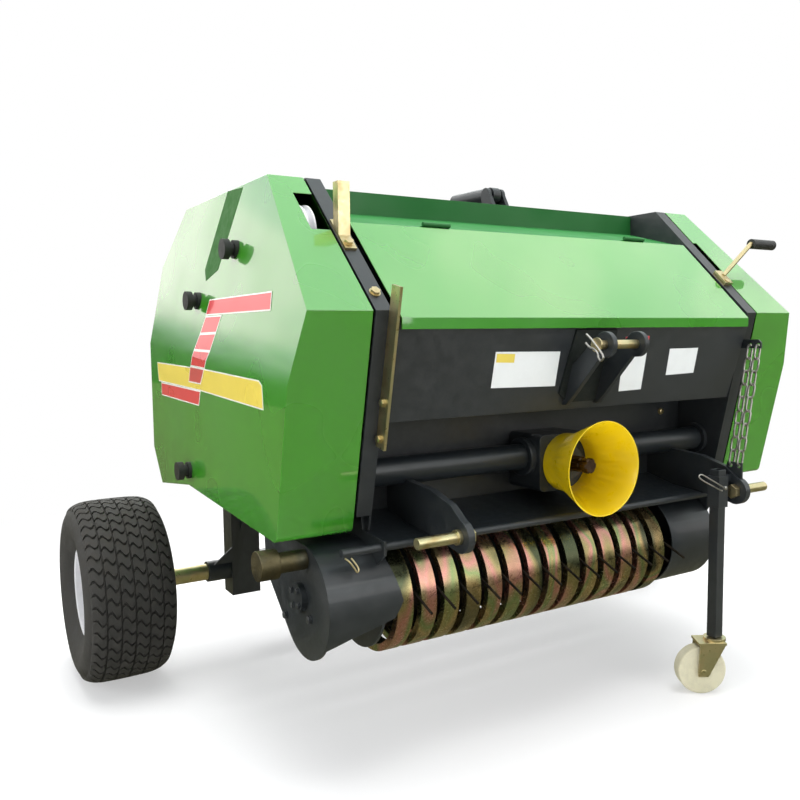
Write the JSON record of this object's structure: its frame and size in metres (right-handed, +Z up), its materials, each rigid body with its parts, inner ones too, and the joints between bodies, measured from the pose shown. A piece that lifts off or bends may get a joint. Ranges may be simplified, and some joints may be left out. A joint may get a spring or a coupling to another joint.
{
  "type": "mini round hay baler",
  "caption": "Small round hay baler on a three-point hitch: roller chamber with opening tailgate, tined pickup, side covers, lid, turf wheels and castor stand",
  "frame": {"origin": "centre of the bounding box on the floor", "axes": "+X right seen from the hitch side, +Y from the hitch to the tailgate, +Z up"},
  "size_m": [1.922, 1.183, 1.26],
  "materials": {
    "green_paint": "glossy",
    "deep_green_paint": "satin",
    "frame_paint": "satin",
    "zinc_plate": "yellow zinc plated",
    "bright_steel": "bare",
    "yellow_plastic": "glossy",
    "nylon": "matte",
    "black_rubber": "matte",
    "tyre_rubber": "matte",
    "white_paint": "glossy"
  },
  "bodies": {
    "frame": {"side_plate_left": "frame_paint", "side_plate_right": "frame_paint", "cover_left": "green_paint", "cover_right": "green_paint", "cover_knobs": "black_rubber", "twine_box": "frame_paint", "top_deck": "deep_green_paint", "cross_beams": "frame_paint", "chamber_rollers": "frame_paint", "gate_hinge_pins": "bright_steel", "gearbox": "frame_paint", "pto_cone": "yellow_plastic", "drive_tubes": "frame_paint", "hitch_plate_left": "frame_paint", "hitch_plate_right": "frame_paint", "hitch_pins": "zinc_plate", "mast": "frame_paint", "pickup_beams": "frame_paint", "pickup_supports": "frame_paint", "pickup_drive_guard": "frame_paint", "pickup_end_guard": "frame_paint", "strippers": "zinc_plate", "axle_beam": "frame_paint", "axle_brackets": "frame_paint", "stub_axles": "zinc_plate", "stand_sleeve": "frame_paint", "pickup_drive_shaft": "zinc_plate", "corner_fittings": "zinc_plate", "twine_pulley": "nylon", "stay_chain": "bright_steel"},
    "wheel_left": {"tyre_left": "tyre_rubber", "rim_left": "white_paint"},
    "wheel_right": {"tyre_right": "tyre_rubber", "rim_right": "white_paint"},
    "lid": {"box_lid": "green_paint"},
    "tailgate": {"gate_sides": "frame_paint", "gate_beams": "frame_paint", "gate_rollers": "frame_paint"},
    "lift_barrel": {"cylinder_barrel": "frame_paint"},
    "lift_rod": {"cylinder_rod": "bright_steel"},
    "input_shaft": {"pto_shaft": "bright_steel"},
    "reel": {"pickup_reel": "bright_steel"},
    "stand": {"stand_leg": "frame_paint"},
    "castor": {"castor_fork": "zinc_plate"},
    "castor_roller": {"castor_wheel": "nylon"}
  },
  "joints": [
    {"name": "wheel_left_spin", "type": "hinge", "parent": "frame", "child": "wheel_left", "pos_m": [-0.853, 0.3625, 0.229], "axis": [1, 0, 0], "continuous": true},
    {"name": "wheel_right_spin", "type": "hinge", "parent": "frame", "child": "wheel_right", "pos_m": [0.853, 0.3625, 0.229], "axis": [1, 0, 0], "continuous": true},
    {"name": "lid_hinge", "type": "hinge", "parent": "frame", "child": "lid", "pos_m": [0, -0.2935, 1.109], "axis": [-1, 0, 0], "range_deg": [0, 140]},
    {"name": "tailgate_hinge", "type": "hinge", "parent": "frame", "child": "tailgate", "pos_m": [0, 0.2115, 1.175], "axis": [1, 0, 0], "range_deg": [0, 60]},
    {"name": "lift_barrel_pivot", "type": "hinge", "parent": "frame", "child": "lift_barrel", "pos_m": [0.05, -0.0585, 1.232], "axis": [1, 0, 0], "range_deg": [-1, 5]},
    {"name": "lift_rod_slide", "type": "slide", "parent": "lift_barrel", "child": "lift_rod", "axis": [0, 0.9997, 0.025], "range_m": [-0.09, 0.005]},
    {"name": "input_shaft_spin", "type": "hinge", "parent": "frame", "child": "input_shaft", "pos_m": [0, -0.4765, 0.578], "axis": [0, -1, 0], "continuous": true},
    {"name": "reel_spin", "type": "hinge", "parent": "frame", "child": "reel", "pos_m": [0, -0.3885, 0.314], "axis": [1, 0, 0], "continuous": true},
    {"name": "stand_slide", "type": "slide", "parent": "frame", "child": "stand", "axis": [0, 0, 1], "range_m": [0, 0.25]},
    {"name": "castor_swivel", "type": "hinge", "parent": "stand", "child": "castor", "pos_m": [0.357, -0.5325, 0.13], "axis": [0, 0, 1], "continuous": true},
    {"name": "castor_spin", "type": "hinge", "parent": "castor", "child": "castor_roller", "pos_m": [0.32786, -0.51499, 0.058], "axis": [-0.515, -0.8572, 0], "continuous": true}
  ],
  "couplings": [
    {"joint": "lift_barrel_pivot", "follows": "tailgate_hinge", "ratio": 0.05119},
    {"joint": "lift_rod_slide", "follows": "tailgate_hinge", "m_per_rad": -0.077017}
  ]
}
